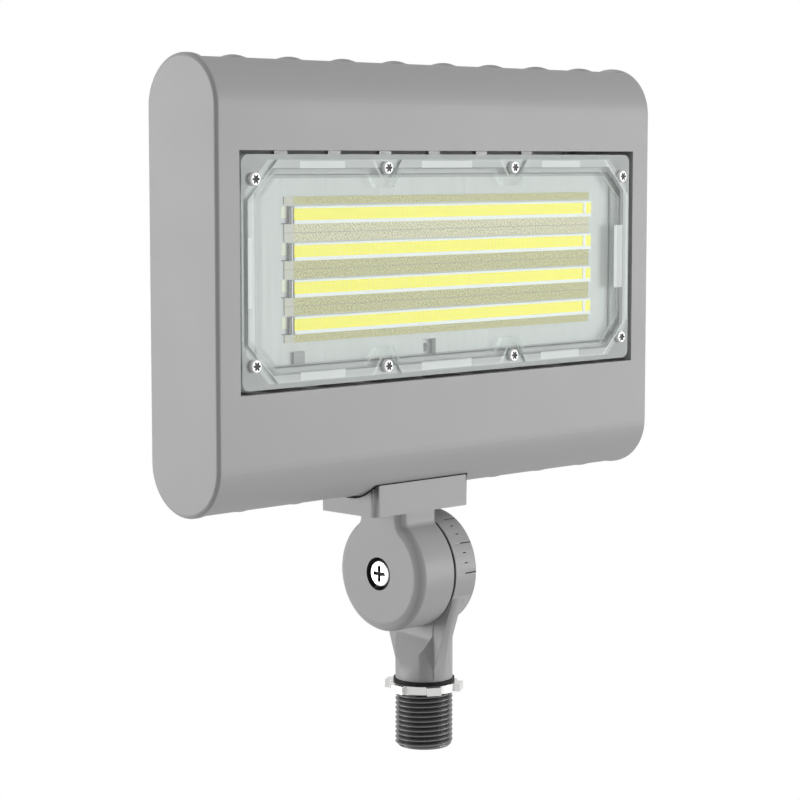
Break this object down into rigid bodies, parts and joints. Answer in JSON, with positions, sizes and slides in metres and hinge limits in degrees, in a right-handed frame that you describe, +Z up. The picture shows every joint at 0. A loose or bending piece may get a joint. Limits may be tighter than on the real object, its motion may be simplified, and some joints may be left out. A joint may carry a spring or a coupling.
{
  "type": "flood light",
  "caption": "Rectangular LED flood light with an open finned cast housing, clear lens and a tilting knuckle on a threaded conduit nipple.",
  "frame": {"origin": "on the nipple's axis at the upper end of its free thread, just under the locknut", "axes": "+X along the housing's width towards the lower knuckle's outer face, the lamp faces -Y, +Z up along the nipple"},
  "size_m": [0.2216, 0.043, 0.2526],
  "materials": {
    "painted_casting": "satin light-grey powder coat on die-cast aluminium",
    "clear_lens": "clear polycarbonate",
    "silicone": "matt pale-grey silicone",
    "bright_steel": "bright plated steel",
    "thermal_sheet": "matt thermal sheet",
    "board": "white solder mask on a metal-core board",
    "phosphor": "yellow phosphor gel",
    "dark_ink": "dark moulded plastic",
    "strip": "pale beige copper trace under mask",
    "black_rubber": "matt black rubber",
    "bare_thread": "dark bare metal",
    "zinc": "bright zinc plate"
  },
  "bodies": {
    "base": {"lower_knuckle": "painted_casting", "threaded_nipple": "bare_thread", "joint_seal": "black_rubber", "pivot_screw": "bright_steel", "pivot_nut": "bright_steel"},
    "head": {"housing": "painted_casting", "lens": "clear_lens", "lens_gasket": "silicone", "lens_screws": "bright_steel", "thermal_pad": "thermal_sheet", "led_board": "board", "wire_grommet": "silicone", "led_rows": "phosphor", "row_end_bars": "dark_ink", "row_end_blocks": "phosphor", "board_strips": "strip", "rectifier": "dark_ink", "upper_knuckle": "painted_casting", "knuckle_gasket": "black_rubber", "knuckle_screws": "bright_steel"},
    "gasket_ring": {"stem_gasket": "black_rubber"},
    "locknut": {"locknut": "zinc"}
  },
  "joints": [
    {"name": "head_tilt", "type": "hinge", "parent": "base", "child": "head", "pos_m": [-0.01506, 0, 0.04605], "axis": [1, 0, 0], "range_deg": [-90, 90]},
    {"name": "locknut_travel", "type": "slide", "parent": "base", "child": "gasket_ring", "axis": [0, 0, -1], "range_m": [0, 0.01814]},
    {"name": "locknut_turn", "type": "hinge", "parent": "gasket_ring", "child": "locknut", "pos_m": [0, 0, 0.0015], "axis": [0, 0, -1], "range_deg": [0, 3600]}
  ],
  "couplings": [
    {"joint": "locknut_turn", "follows": "locknut_travel", "rad_per_m": 3463.2}
  ]
}
